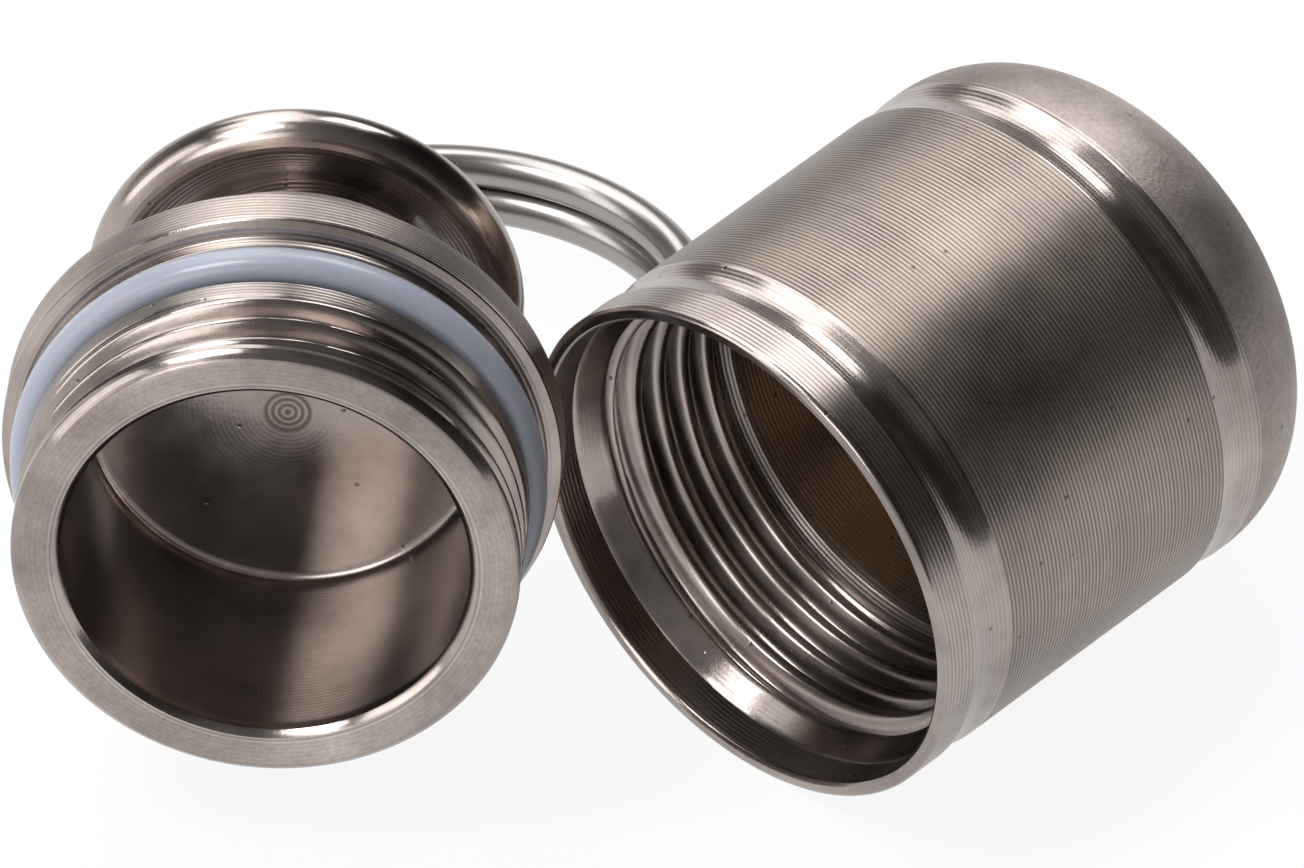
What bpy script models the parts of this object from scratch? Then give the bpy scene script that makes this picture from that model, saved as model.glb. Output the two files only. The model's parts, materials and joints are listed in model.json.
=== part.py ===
"""Titanium capsule with a threaded cap, a seal ring and a split ring, cap laid beside the body."""
import math

import bmesh
import bpy
from mathutils import Vector

# Meshing
COLUMNS = 48
SEAL_SIDES = 14
WIRE_SIDES = 12
WIRE_STEPS_PER_TURN = 56
ROWS_PER_PITCH = 6
DOME_STEPS = 9
TURN = 2 * math.pi
SMOOTH_ANGLE = math.radians(38)
MERGE = 1e-6

# Thread, right-handed
THREAD_PITCH = 0.00100
THREAD_DEPTH = 0.00055
THREAD_CLEARANCE = 0.00012
THREAD_FADE_SHARE = 0.35
CAP_THREAD_RADIUS = 0.00724
CAP_THREAD_ROOT = CAP_THREAD_RADIUS - THREAD_DEPTH
CAP_THREAD_START = 0.00040
CAP_THREAD_LEAD = 0.00040
CAP_THREAD_TURNS = 2.5
BODY_THREAD_ROOT = CAP_THREAD_RADIUS + THREAD_CLEARANCE
BODY_THREAD_CREST = BODY_THREAD_ROOT - THREAD_DEPTH
BODY_THREAD_LEAD = 0.00048
BODY_THREAD_TURNS = 5.2

# Capsule body, along the axis from the mouth
BODY_LENGTH = 0.01820
LIP_WALL = 0.00044
LIP_CHAMFER = 0.00010
COUNTERBORE_STEP = 0.00020
COUNTERBORE_RADIUS = BODY_THREAD_ROOT + COUNTERBORE_STEP
BODY_RADIUS = COUNTERBORE_RADIUS + LIP_WALL
COUNTERBORE_DEPTH = 0.00150
GROOVE_DEPTH = 0.00022
GROOVE_HALF_WIDTH = 0.00068
FIRST_GROOVE = 0.00212
SECOND_GROOVE = 0.01240
DOME_HEIGHT = 0.00480
DOME_POWER = 2.25
END_WALL = 0.00280
BORE_RADIUS = BODY_THREAD_CREST
BORE_CORNER = 0.00048

# Screw cap, along the axis from its mouth face
CAP_NOSE = 0.00024
CAP_FACE_RADIUS = CAP_THREAD_RADIUS - CAP_NOSE
CAP_WALL = 0.00087
CAP_BORE_RADIUS = CAP_THREAD_ROOT - CAP_WALL
CAP_BORE_DEPTH = 0.00762
CAP_BORE_CHAMFER = 0.00020
FLANGE_RADIUS = BODY_RADIUS
FLANGE_FRONT = 0.00552
FLANGE_BACK = 0.00694
FLANGE_CHAMFER = 0.00020
LAND_CLEARANCE = 0.00012
LAND_RADIUS = COUNTERBORE_RADIUS - LAND_CLEARANCE
SHOULDER_LENGTH = 0.00430
SHOULDER_SHARES = (
    (0.015, 0.970), (0.069, 0.948), (0.208, 0.905), (0.394, 0.850), (0.580, 0.792),
    (0.748, 0.735), (0.878, 0.675), (0.953, 0.605), (0.980, 0.520), (1.000, 0.430),
)
NECK_RADIUS = 0.00208
NECK_LENGTH = 0.00260
NECK_SHARES = ((0.060, 1.330), (0.185, 1.100), (0.385, 1.000), (0.908, 1.000))

# Tail, a web with a rounded rim, radii as shares of the rim's and stations as shares of its depth
RIM_RADIUS = 0.00638
RIM_DEPTH = 0.00192
WEB_THICKNESS = 0.00088
WEB_SHARES = (0.364, 0.483, 0.602)
RIM_INNER_SHARES = ((0.417, 0.652), (0.167, 0.735), (0.010, 0.855))
RIM_SHARES = (
    (0.010, 0.895), (0.050, 0.935), (0.120, 0.972), (0.250, 1.000), (0.438, 0.980), (0.645, 0.934),
    (0.854, 0.878),
)
RIM_BACK_SHARE = 0.840
SLOT_COLUMNS = (6, 30)
SLOT_WIDE_COLUMNS = (17, 30)

# Seal ring, in the groove before the land
SEAL_SECTION_RADIUS = 0.00055
SEAL_CLEARANCE = 0.00006
SEAL_GROOVE_DEPTH = 0.00074
SEAL_GROOVE_RADIUS = CAP_THREAD_RADIUS - SEAL_GROOVE_DEPTH
SEAL_GROOVE_WIDTH = 0.00152
SEAL_GROOVE_BACK = 0.00512
SEAL_GROOVE_FRONT = SEAL_GROOVE_BACK - SEAL_GROOVE_WIDTH
SEAL_CENTRE_RADIUS = SEAL_GROOVE_RADIUS + SEAL_CLEARANCE + SEAL_SECTION_RADIUS
SEAL_STATION = SEAL_GROOVE_BACK - SEAL_CLEARANCE - SEAL_SECTION_RADIUS

# Split ring
RING_RADIUS = 0.00702
WIRE_RADIUS = 0.00051
COIL_GAP = 0.00044
COIL_SPACING = 2 * WIRE_RADIUS + COIL_GAP
JOG_HALF_ANGLE = math.radians(26)
WIRE_END_ANGLE = math.radians(34)

# Poses on the table, directions point out of each mouth and the slot's wire lies up and right of the axis
BODY_AXIS = Vector((-0.6827, -0.7307, 0.0)).normalized()
CAP_AXIS = Vector((-0.07325, -0.98861, 0.13148)).normalized()
RING_AXIS = Vector((0.066, 0.153, 0.986)).normalized()
CAMERA_BACK = Vector((0.0, -0.7408, 0.6717))
BODY_MOUTH = Vector((0.0, 0.0, BODY_RADIUS))
CAP_MOUTH_SHARES = (-1.676, -0.319, 0.240)
CAP_MOUTH = BODY_MOUTH + Vector(CAP_MOUTH_SHARES) * BODY_RADIUS
SHOULDER_BACK = FLANGE_BACK + SHOULDER_LENGTH
WEB_FRONT = SHOULDER_BACK + NECK_LENGTH
WEB_BACK = WEB_FRONT + WEB_THICKNESS
RIM_FRONT = WEB_BACK - RIM_DEPTH
RING_FRONT_GAP = 0.00025
RING_FRONT = SHOULDER_BACK + RING_FRONT_GAP + WIRE_RADIUS
RING_UP_SHARE = -0.546
RING_RIGHT_SHARE = 0.677

# Base colours of the metals and the seal
TITANIUM = (0.34, 0.315, 0.295, 1.0)
STEEL = (0.45, 0.45, 0.45, 1.0)
SILICONE = (0.62, 0.67, 0.74, 1.0)


def clear_scene():
    for item in list(bpy.data.objects):
        bpy.data.objects.remove(item, do_unlink=True)


def material(name, colour, metallic, roughness):
    made = bpy.data.materials.new(name)
    made.use_nodes = True
    made.diffuse_color = colour
    shader = made.node_tree.nodes["Principled BSDF"]
    shader.inputs["Base Color"].default_value = colour
    shader.inputs["Metallic"].default_value = metallic
    shader.inputs["Roughness"].default_value = roughness
    return made


def cross_axes(axis):
    """Returns the direction across the axis nearest the camera side up, and the one to the right."""
    up = CAMERA_BACK - axis * CAMERA_BACK.dot(axis)
    up.normalize()
    right = axis.cross(up)
    if right.x < 0:
        right = -right
    return up, right


def place(axis, mouth, station, radius, azimuth):
    """Returns the table point at a station behind a mouth, on a radius and azimuth about the axis."""
    up, right = cross_axes(axis)
    return mouth - axis * station + (up * math.cos(azimuth) + right * math.sin(azimuth)) * radius


def add_piece(name, points, faces, origin, made):
    mesh = bpy.data.meshes.new(name)
    mesh.from_pydata([point - origin for point in points], [], faces)
    work = bmesh.new()
    work.from_mesh(mesh)
    bmesh.ops.remove_doubles(work, verts=work.verts, dist=MERGE)
    bmesh.ops.recalc_face_normals(work, faces=work.faces)
    if work.calc_volume(signed=True) < 0:
        bmesh.ops.reverse_faces(work, faces=work.faces)
    for face in work.faces:
        face.smooth = True
    for edge in work.edges:
        edge.smooth = edge.calc_face_angle(0.0) < SMOOTH_ANGLE
    work.to_mesh(mesh)
    work.free()
    mesh.materials.append(made)
    piece = bpy.data.objects.new(name, mesh)
    piece.location = origin
    bpy.context.collection.objects.link(piece)
    return piece


def thread_rows(start, turns, plain, cut):
    """Returns rows (station, plain radius, cut radius) of a threaded length, fading in and out."""
    count = round(turns * ROWS_PER_PITCH)
    rows = []
    for index in range(count + 1):
        along = index / ROWS_PER_PITCH
        fade = min(1.0, along / THREAD_FADE_SHARE, (turns - along) / THREAD_FADE_SHARE)
        rows.append((start + along * THREAD_PITCH, plain, plain + (cut - plain) * max(0.0, fade)))
    return rows


def row_radius(row, start, azimuth):
    """Returns the radius of a profile row, waving between the plain and the cut radius on the helix."""
    if len(row) == 2:
        return row[1]
    phase = TURN * (row[0] - start) / THREAD_PITCH - azimuth
    return row[1] + (row[2] - row[1]) * 0.5 * (1 - math.cos(phase))


def turned_grid(axis, mouth, rows, thread_start):
    """Returns the points of a closed turned profile, and its faces keyed by row and column."""
    points = []
    for row in rows:
        for column in range(COLUMNS):
            azimuth = TURN * column / COLUMNS
            points.append(place(axis, mouth, row[0], row_radius(row, thread_start, azimuth), azimuth))
    faces = {}
    for index in range(len(rows) - 1):
        for column in range(COLUMNS):
            after = (column + 1) % COLUMNS
            low = index * COLUMNS
            high = low + COLUMNS
            faces[index, column] = (low + column, low + after, high + after, high + column)
    return points, faces


def close_ends(points, faces, axis, mouth, rows):
    """Closes the first and the last row with fans to points on the axis."""
    listed = list(faces.values())
    for index, station in ((0, rows[0][0]), (len(rows) - 1, rows[-1][0])):
        centre = len(points)
        points.append(mouth - axis * station)
        for column in range(COLUMNS):
            after = (column + 1) % COLUMNS
            listed.append((index * COLUMNS + column, index * COLUMNS + after, centre))
    return listed


def groove_rows(centre):
    rows = []
    for share in (-1.0, -0.6, -0.2, 0.2, 0.6, 1.0):
        depth = GROOVE_DEPTH * 0.5 * (1 + math.cos(math.pi * share))
        rows.append((centre + share * GROOVE_HALF_WIDTH, BODY_RADIUS - depth))
    return rows


def dome_rows():
    rows = []
    start = BODY_LENGTH - DOME_HEIGHT
    for index in range(DOME_STEPS + 1):
        angle = 0.5 * math.pi * index / (DOME_STEPS + 0.6)
        radius = BODY_RADIUS * math.cos(angle) ** (2 / DOME_POWER)
        rows.append((start + DOME_HEIGHT * math.sin(angle) ** (2 / DOME_POWER), radius))
    return rows


def body_profile():
    """Runs from the middle of the bore's floor, out over the lip and back to the tip of the dome."""
    floor = BODY_LENGTH - END_WALL
    rows = [(floor, BORE_RADIUS - BORE_CORNER)]
    rows.append((floor - BORE_CORNER * 0.3, BORE_RADIUS - BORE_CORNER * 0.3))
    rows.append((floor - BORE_CORNER, BORE_RADIUS))
    inner = thread_rows(COUNTERBORE_DEPTH, BODY_THREAD_TURNS, BODY_THREAD_ROOT, BODY_THREAD_CREST)
    rows.append((inner[-1][0] + THREAD_PITCH * 0.2, BORE_RADIUS))
    rows.extend(reversed(inner))
    rows.append((COUNTERBORE_DEPTH, COUNTERBORE_RADIUS))
    rows.append((LIP_CHAMFER, COUNTERBORE_RADIUS))
    rows.append((0.0, COUNTERBORE_RADIUS + LIP_CHAMFER))
    rows.append((0.0, BODY_RADIUS - LIP_CHAMFER))
    rows.append((LIP_CHAMFER, BODY_RADIUS))
    rows.extend(groove_rows(FIRST_GROOVE))
    rows.extend(groove_rows(SECOND_GROOVE))
    rows.extend(dome_rows())
    return rows


def placed(shares, start, length, radius):
    """Turns outline shares into stations after a start and radii."""
    return [(start + along * length, out * radius) for along, out in shares]


def cap_profile():
    """Runs from the bore's floor, out over the mouth face and back to the tail."""
    rows = [(CAP_BORE_DEPTH, CAP_BORE_RADIUS)]
    rows.append((CAP_BORE_CHAMFER, CAP_BORE_RADIUS))
    rows.append((0.0, CAP_BORE_RADIUS + CAP_BORE_CHAMFER))
    rows.append((0.0, CAP_FACE_RADIUS))
    rows.append((CAP_NOSE, CAP_THREAD_RADIUS))
    rows.extend(thread_rows(CAP_THREAD_START, CAP_THREAD_TURNS, CAP_THREAD_RADIUS, CAP_THREAD_ROOT))
    rows.append((SEAL_GROOVE_FRONT, CAP_THREAD_RADIUS))
    rows.append((SEAL_GROOVE_FRONT, SEAL_GROOVE_RADIUS))
    rows.append((SEAL_GROOVE_BACK, SEAL_GROOVE_RADIUS))
    rows.append((SEAL_GROOVE_BACK, LAND_RADIUS))
    rows.append((FLANGE_FRONT, LAND_RADIUS))
    rows.append((FLANGE_FRONT, FLANGE_RADIUS - FLANGE_CHAMFER))
    rows.append((FLANGE_FRONT + FLANGE_CHAMFER / 2, FLANGE_RADIUS))
    rows.append((FLANGE_BACK, FLANGE_RADIUS))
    rows.extend(placed(SHOULDER_SHARES, FLANGE_BACK, SHOULDER_LENGTH, FLANGE_RADIUS))
    rows.extend(placed(NECK_SHARES, SHOULDER_BACK, NECK_LENGTH, NECK_RADIUS))
    front = len(rows)
    rows.extend((WEB_FRONT, share * RIM_RADIUS) for share in WEB_SHARES)
    rows.extend(placed(RIM_INNER_SHARES + RIM_SHARES, RIM_FRONT, RIM_DEPTH, RIM_RADIUS))
    rows.append((WEB_BACK, RIM_BACK_SHARE * RIM_RADIUS))
    back = len(rows)
    inner = [share[1] for share in reversed(RIM_INNER_SHARES)]
    rows.extend((WEB_BACK, share * RIM_RADIUS) for share in inner + list(reversed(WEB_SHARES)))
    return rows, front, back


def cut_slot(faces, front, back):
    """Opens the slot through the web, and walls it between the front and back faces."""
    rings = len(WEB_SHARES) + len(RIM_INNER_SHARES)
    steps = {}
    for step in range(rings - 1):
        narrow = step < len(WEB_SHARES) - 1
        first, last = SLOT_COLUMNS if narrow else SLOT_WIDE_COLUMNS
        for column in range(first, last):
            steps[step, column] = True
    for step, column in steps:
        del faces[front + step, column]
        del faces[back + rings - 2 - step, column]

    def pair(ring, column):
        return (front + ring) * COLUMNS + column, (back + rings - 1 - ring) * COLUMNS + column

    walls = []
    for step, column in steps:
        sides = (
            ((step - 1, column), (step, column), (step, column + 1)),
            ((step + 1, column), (step + 1, column), (step + 1, column + 1)),
            ((step, column - 1), (step, column), (step + 1, column)),
            ((step, column + 1), (step, column + 1), (step + 1, column + 1)),
        )
        for beside, start, end in sides:
            if beside not in steps:
                a, b = pair(*start)
                c, d = pair(*end)
                walls.append((a, b, d, c))
    return walls


def build_body(made):
    rows = body_profile()
    points, faces = turned_grid(BODY_AXIS, BODY_MOUTH, rows, COUNTERBORE_DEPTH + BODY_THREAD_LEAD)
    listed = close_ends(points, faces, BODY_AXIS, BODY_MOUTH, rows)
    return add_piece("capsule_body", points, listed, BODY_MOUTH, made)


def build_cap(made):
    rows, front, back = cap_profile()
    points, faces = turned_grid(CAP_AXIS, CAP_MOUTH, rows, CAP_THREAD_START + CAP_THREAD_LEAD)
    walls = cut_slot(faces, front, back)
    listed = close_ends(points, faces, CAP_AXIS, CAP_MOUTH, rows)
    return add_piece("screw_cap", points, listed + walls, CAP_MOUTH, made)


def build_seal(made):
    points = []
    faces = []
    for column in range(COLUMNS):
        azimuth = TURN * column / COLUMNS
        for side in range(SEAL_SIDES):
            turn = TURN * side / SEAL_SIDES
            radius = SEAL_CENTRE_RADIUS + SEAL_SECTION_RADIUS * math.cos(turn)
            station = SEAL_STATION + SEAL_SECTION_RADIUS * math.sin(turn)
            points.append(place(CAP_AXIS, CAP_MOUTH, station, radius, azimuth))
    for column in range(COLUMNS):
        after = (column + 1) % COLUMNS
        for side in range(SEAL_SIDES):
            beside = (side + 1) % SEAL_SIDES
            faces.append((
                column * SEAL_SIDES + side, after * SEAL_SIDES + side,
                after * SEAL_SIDES + beside, column * SEAL_SIDES + beside,
            ))
    return add_piece("seal_ring", points, faces, CAP_MOUTH - CAP_AXIS * SEAL_STATION, made)


def ring_centre():
    """Returns the split ring's centre, set back from where its front passes between shoulder and rim."""
    up, right = cross_axes(CAP_AXIS)
    front = CAP_MOUTH - CAP_AXIS * RING_FRONT
    front = front + (up * RING_UP_SHARE + right * RING_RIGHT_SHARE) * RIM_RADIUS
    towards = CAP_AXIS - RING_AXIS * CAP_AXIS.dot(RING_AXIS)
    return front - towards.normalized() * RING_RADIUS


def coil_path():
    """Returns the split ring's centre line: a flat turn, a short jog, then a second flat turn."""
    centre = ring_centre()
    near = CAMERA_BACK - RING_AXIS * CAMERA_BACK.dot(RING_AXIS)
    near.normalize()
    side = RING_AXIS.cross(near)
    sweep = 2 * TURN - 2 * WIRE_END_ANGLE
    count = round(sweep / TURN * WIRE_STEPS_PER_TURN)
    path = []
    for index in range(count + 1):
        angle = WIRE_END_ANGLE + sweep * index / count
        share = (angle - TURN + JOG_HALF_ANGLE) / (2 * JOG_HALF_ANGLE)
        share = min(1.0, max(0.0, share))
        share = share * share * (3 - 2 * share)
        height = COIL_SPACING * (share - 0.5)
        radial = near * math.cos(angle) + side * math.sin(angle)
        path.append((centre + radial * RING_RADIUS + RING_AXIS * height, radial))
    return path


def build_ring(made):
    path = coil_path()
    points = []
    faces = []
    for index, (point, radial) in enumerate(path):
        before = path[max(0, index - 1)][0]
        after = path[min(len(path) - 1, index + 1)][0]
        along = (after - before).normalized()
        out = (radial - along * radial.dot(along)).normalized()
        rise = along.cross(out)
        for side in range(WIRE_SIDES):
            turn = TURN * side / WIRE_SIDES
            points.append(point + (out * math.cos(turn) + rise * math.sin(turn)) * WIRE_RADIUS)
    for index in range(len(path) - 1):
        low = index * WIRE_SIDES
        for side in range(WIRE_SIDES):
            beside = (side + 1) % WIRE_SIDES
            faces.append((low + side, low + beside, low + WIRE_SIDES + beside, low + WIRE_SIDES + side))
    faces.append(tuple(range(WIRE_SIDES)))
    last = (len(path) - 1) * WIRE_SIDES
    faces.append(tuple(last + side for side in range(WIRE_SIDES)))
    turns = [point for point, radial in path]
    gap = min(
        (turns[i] - turns[j]).length
        for i in range(len(turns)) for j in range(i + WIRE_STEPS_PER_TURN // 2, len(turns))
    ) - 2 * WIRE_RADIUS
    print("split ring gap to itself mm", round(gap * 1000, 3))
    return add_piece("split_ring", points, faces, ring_centre(), made)


def settle(pieces):
    """Moves the whole set so that the middle of its footprint is at the origin, on the table."""
    low = Vector((math.inf,) * 3)
    high = -low
    for piece in pieces:
        for vertex in piece.data.vertices:
            point = piece.location + vertex.co
            low = Vector(map(min, low, point))
            high = Vector(map(max, high, point))
    shift = Vector((-(low.x + high.x) / 2, -(low.y + high.y) / 2, -low.z))
    for piece in pieces:
        piece.location = piece.location + shift
    print("shift mm", [round(value * 1000, 4) for value in shift])
    for piece in pieces:
        print(piece.name, "origin mm", [round(value * 1000, 4) for value in piece.location],
              "triangles", sum(len(face.vertices) - 2 for face in piece.data.polygons))
    print("size mm", [round(value * 1000, 3) for value in high - low])


def build():
    clear_scene()
    titanium = material("turned_titanium", TITANIUM, 1.0, 0.32)
    steel = material("polished_wire", STEEL, 1.0, 0.18)
    silicone = material("translucent_silicone", SILICONE, 0.0, 0.35)
    pieces = [build_body(titanium), build_seal(silicone), build_cap(titanium), build_ring(steel)]
    settle(pieces)


build()
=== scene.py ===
"""Looks of the titanium capsule: turned metal, a milky seal and a polished split ring on a white table."""
import json
import math

import bmesh
import bpy
from mathutils import Matrix, Vector


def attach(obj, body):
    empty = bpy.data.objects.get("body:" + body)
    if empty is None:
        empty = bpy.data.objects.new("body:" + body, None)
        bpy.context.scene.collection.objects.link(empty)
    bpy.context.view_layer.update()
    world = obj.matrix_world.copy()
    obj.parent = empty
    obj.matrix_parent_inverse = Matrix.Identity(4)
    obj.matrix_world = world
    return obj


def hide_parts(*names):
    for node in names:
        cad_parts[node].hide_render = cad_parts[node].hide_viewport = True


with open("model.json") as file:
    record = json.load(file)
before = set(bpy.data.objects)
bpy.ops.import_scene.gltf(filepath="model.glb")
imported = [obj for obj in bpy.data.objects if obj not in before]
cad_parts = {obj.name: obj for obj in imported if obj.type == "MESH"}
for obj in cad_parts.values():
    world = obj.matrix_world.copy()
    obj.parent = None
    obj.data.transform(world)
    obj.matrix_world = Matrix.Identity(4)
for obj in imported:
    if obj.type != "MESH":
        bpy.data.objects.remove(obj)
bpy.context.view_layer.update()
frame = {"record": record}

# Driving sizes
MM = 0.001
TURN = 2 * math.pi
BODY_RADIUS = 8.0 * MM
THREAD_PITCH = 1.0 * MM
BODY_BORE_DEPTH = 15.40 * MM
CAP_BORE_DEPTH = 7.62 * MM

# Stations where the helix of each thread starts its wave
BODY_WAVE = 1.98 * MM
CAP_WAVE = 0.80 * MM

# Axes out of each mouth, and the mouths themselves, from the frame
MOUNTS = {mount["name"]: mount for mount in frame["record"]["mounts"]}
BODY_AXIS = Vector(MOUNTS["body_bore_floor"]["axis"]).normalized()
CAP_AXIS = Vector(MOUNTS["cap_bore_floor"]["axis"]).normalized()
BODY_MOUTH = Vector(MOUNTS["body_bore_floor"]["pos_m"]) + BODY_AXIS * BODY_BORE_DEPTH
CAP_MOUTH = Vector(MOUNTS["cap_bore_floor"]["pos_m"]) + CAP_AXIS * CAP_BORE_DEPTH
RING_CENTRE = Vector(MOUNTS["key_loop"]["pos_m"])
RING_AXIS = Vector(MOUNTS["key_loop"]["axis"]).normalized()

# Camera, a long lens looking down on the table
CAMERA_TILT = math.radians(42.2)
PHOTO_WIDTH, PHOTO_HEIGHT = 1304, 868
BODY_RADIUS_PIXELS = 281.7
FOCAL_PIXELS = 23724
MOUTH_PIXEL = (738.6, 553.7)
SENSOR_MM = 36.0
CLIP_NEAR = 0.01
CLIP_FAR = 20.0
CAMERA_BACK = Vector((0.0, -math.cos(CAMERA_TILT), math.sin(CAMERA_TILT)))
CAMERA_UP = Vector((0.0, math.sin(CAMERA_TILT), math.cos(CAMERA_TILT)))
CAMERA_RIGHT = Vector((1.0, 0.0, 0.0))

# Mesh steps, around and along
COLUMNS = 288
ROWS_PER_PITCH = 28
BORE_STEPS = 18
CONE_STEPS = 8
COUNTERBORE_STEPS = 5
LIP_BAND_STEPS = 7
GROOVE_HALF_STEPS = 14
BARREL_STEPS = 20
DOME_STEPS = 56
CENTRE_MARK_ROWS = 7
CAP_BORE_STEPS = 16
SHOULDER_STEPS = 5
WEB_STEPS = 12
WEB_TO_RIM_STEPS = 6
RIM_STEPS = 7
SEAL_SIDES = 36
SHARP_DEGREES = 32
DOUBLES_DISTANCE = 0.0001 * MM

# Profiles below are pairs of station, from a mouth inwards, and radius, as shares of the body's radius
THREAD_DEPTH_SHARE = 0.0688
BORE_SHARE = 0.851
THREAD_ROOT_SHARE = 0.920
COUNTERBORE_SHARE = 0.945
BORE_FLOOR_SHARES = (
    (1.925, 0.05), (1.925, 0.40), (1.925, 0.790), (1.912, 0.825), (1.890, 0.845), (1.865, BORE_SHARE),
)
BORE_END_SHARES = ((1.815, BORE_SHARE), (0.915, BORE_SHARE))
RUN_OUT_SHARES = ((0.885, BORE_SHARE), (0.868, 0.854), (0.860, 0.862))
BODY_THREAD_START_SHARE = 0.268
BODY_THREAD_TURNS = 4.55
BODY_THREAD_FADE = 0.30
CONE_EDGE_SHARES = ((0.266, 0.912), (0.262, 0.898), (0.256, 0.893))
CONE_END_SHARES = ((0.250, 0.894), (0.154, 0.9396))
COUNTERBORE_END_SHARES = ((0.146, COUNTERBORE_SHARE), (0.036, COUNTERBORE_SHARE))
LIP_INSIDE_SHARES = (
    (0.014, COUNTERBORE_SHARE), (0.010, COUNTERBORE_SHARE + 0.002), (0.002, 0.955), (0.0, 0.958),
)
LIP_OUTSIDE_SHARES = ((0.0, 0.972), (0.0, 0.986), (0.002, 0.990), (0.008, 0.997), (0.014, 1.0))
LIP_BAND_END_SHARES = ((0.031, 1.0), (0.150, 1.0))
BARREL_END_SHARES = ((0.345, 1.0), (1.461, 1.0))
GROOVE_CENTRE_SHARES = (0.248, 1.555)
GROOVE_DEPTH_SHARE = 0.019
GROOVE_HALF_WIDTH_SHARE = 0.090
GROOVE_ROUNDNESS = 1.6
DOME_START_SHARE = 1.675
DOME_HEIGHT_SHARE = 0.578
DOME_POWER = 2.25
# The dome's last row stops just short of the tip, and a fan closes it
DOME_STEPS_TO_TIP = 56.4

CAP_CREST_SHARE = 0.905
CAP_BORE_SHARE = 0.7275
CAP_FLOOR_SHARE = 0.9525
SEAL_GROOVE_FLOOR_SHARE = 0.8125
LAND_SHARE = 0.930
CENTRE_MARK_START_SHARE = 0.006
CENTRE_MARK_STEP_SHARE = 0.012
CAP_FLOOR_RADIUS_SHARES = (0.092, 0.20, 0.45, 0.690)
CAP_CORNER_SHARES = (
    (CAP_FLOOR_SHARE - 0.003, 0.712), (CAP_FLOOR_SHARE - 0.012, 0.723),
    (CAP_FLOOR_SHARE - 0.025, CAP_BORE_SHARE),
)
CAP_BORE_END_SHARES = ((0.8775, CAP_BORE_SHARE), (0.0775, CAP_BORE_SHARE))
CAP_INNER_EDGE_SHARES = ((0.028, CAP_BORE_SHARE), (0.022, 0.730), (0.003, 0.749), (0.0, 0.7525))
CAP_FACE_SHARES = ((0.0, 0.780), (0.0, 0.820), (0.0, 0.850), (0.0, 0.872))
CAP_OUTER_EDGE_SHARES = ((0.003, 0.878), (0.026, 0.901), (0.032, CAP_CREST_SHARE), (0.048, CAP_CREST_SHARE))
CAP_THREAD_START_SHARE = 0.052
CAP_THREAD_TURNS = 2.5
CAP_THREAD_FADE = 0.35
RELIEF_SHARES = ((0.385, CAP_CREST_SHARE), (0.444, CAP_CREST_SHARE), (0.450, CAP_CREST_SHARE - 0.006))
SEAL_GROOVE_SHARES = (
    (0.450, SEAL_GROOVE_FLOOR_SHARE + 0.014), (0.456, SEAL_GROOVE_FLOOR_SHARE + 0.003),
    (0.464, SEAL_GROOVE_FLOOR_SHARE), (0.626, SEAL_GROOVE_FLOOR_SHARE),
    (0.634, SEAL_GROOVE_FLOOR_SHARE + 0.003), (0.640, SEAL_GROOVE_FLOOR_SHARE + 0.014),
)
LAND_FRONT_SHARES = ((0.640, LAND_SHARE - 0.006), (0.643, LAND_SHARE - 0.001), (0.648, LAND_SHARE))
LAND_BACK_SHARES = ((0.684, LAND_SHARE), (0.689, LAND_SHARE + 0.003), (0.690, LAND_SHARE + 0.010))
FLANGE_EDGE_SHARES = ((0.690, 0.970), (0.692, 0.975), (0.700, 0.996), (0.706, 1.0))
FLANGE_SHARES = ((0.740, 1.0), (0.780, 1.0), (0.820, 1.0), (0.860, 1.0), (0.8675, 0.996))
SHOULDER_SHARES = (
    (0.876, 0.970), (0.905, 0.948), (0.980, 0.905), (1.080, 0.850), (1.180, 0.792),
    (1.270, 0.735), (1.340, 0.675), (1.380, 0.605), (1.395, 0.520), (1.405, 0.430),
    (1.425, 0.345), (1.465, 0.286), (1.530, 0.260), (1.640, 0.260), (1.715, 0.262), (1.730, 0.280),
)
WEB_END_SHARES = ((1.730, 0.290), (1.730, 0.4796))
WEB_TO_RIM_SHARES = ((1.728, 0.486), (1.700, 0.520), (1.640, 0.586), (1.6024, 0.682))
RIM_SHARES = (
    (1.6030, 0.702), (1.612, 0.733), (1.632, 0.762), (1.662, 0.782),
    (1.697, 0.788), (1.735, 0.778), (1.790, 0.738), (1.838, 0.690),
)
TAIL_BACK_SHARE = 1.840
INNER_SLOT_DEGREES = (46, 225)
OUTER_SLOT_DEGREES = (128, 225)

# Seal and split ring, as shares of the body's radius
SEAL_STATION_SHARE = 0.5638
SEAL_CENTRE_SHARE = 0.889
SEAL_SECTION_SHARE = 0.0700
RING_SHARE = 0.8665
WIRE_SHARE = 0.0745
COIL_SPACING_SHARE = 0.151
RING_POINTS = 520
WIRE_SIDES = 28
WIRE_END_DEGREES = 34
JOG_HALF_DEGREES = 26

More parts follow.
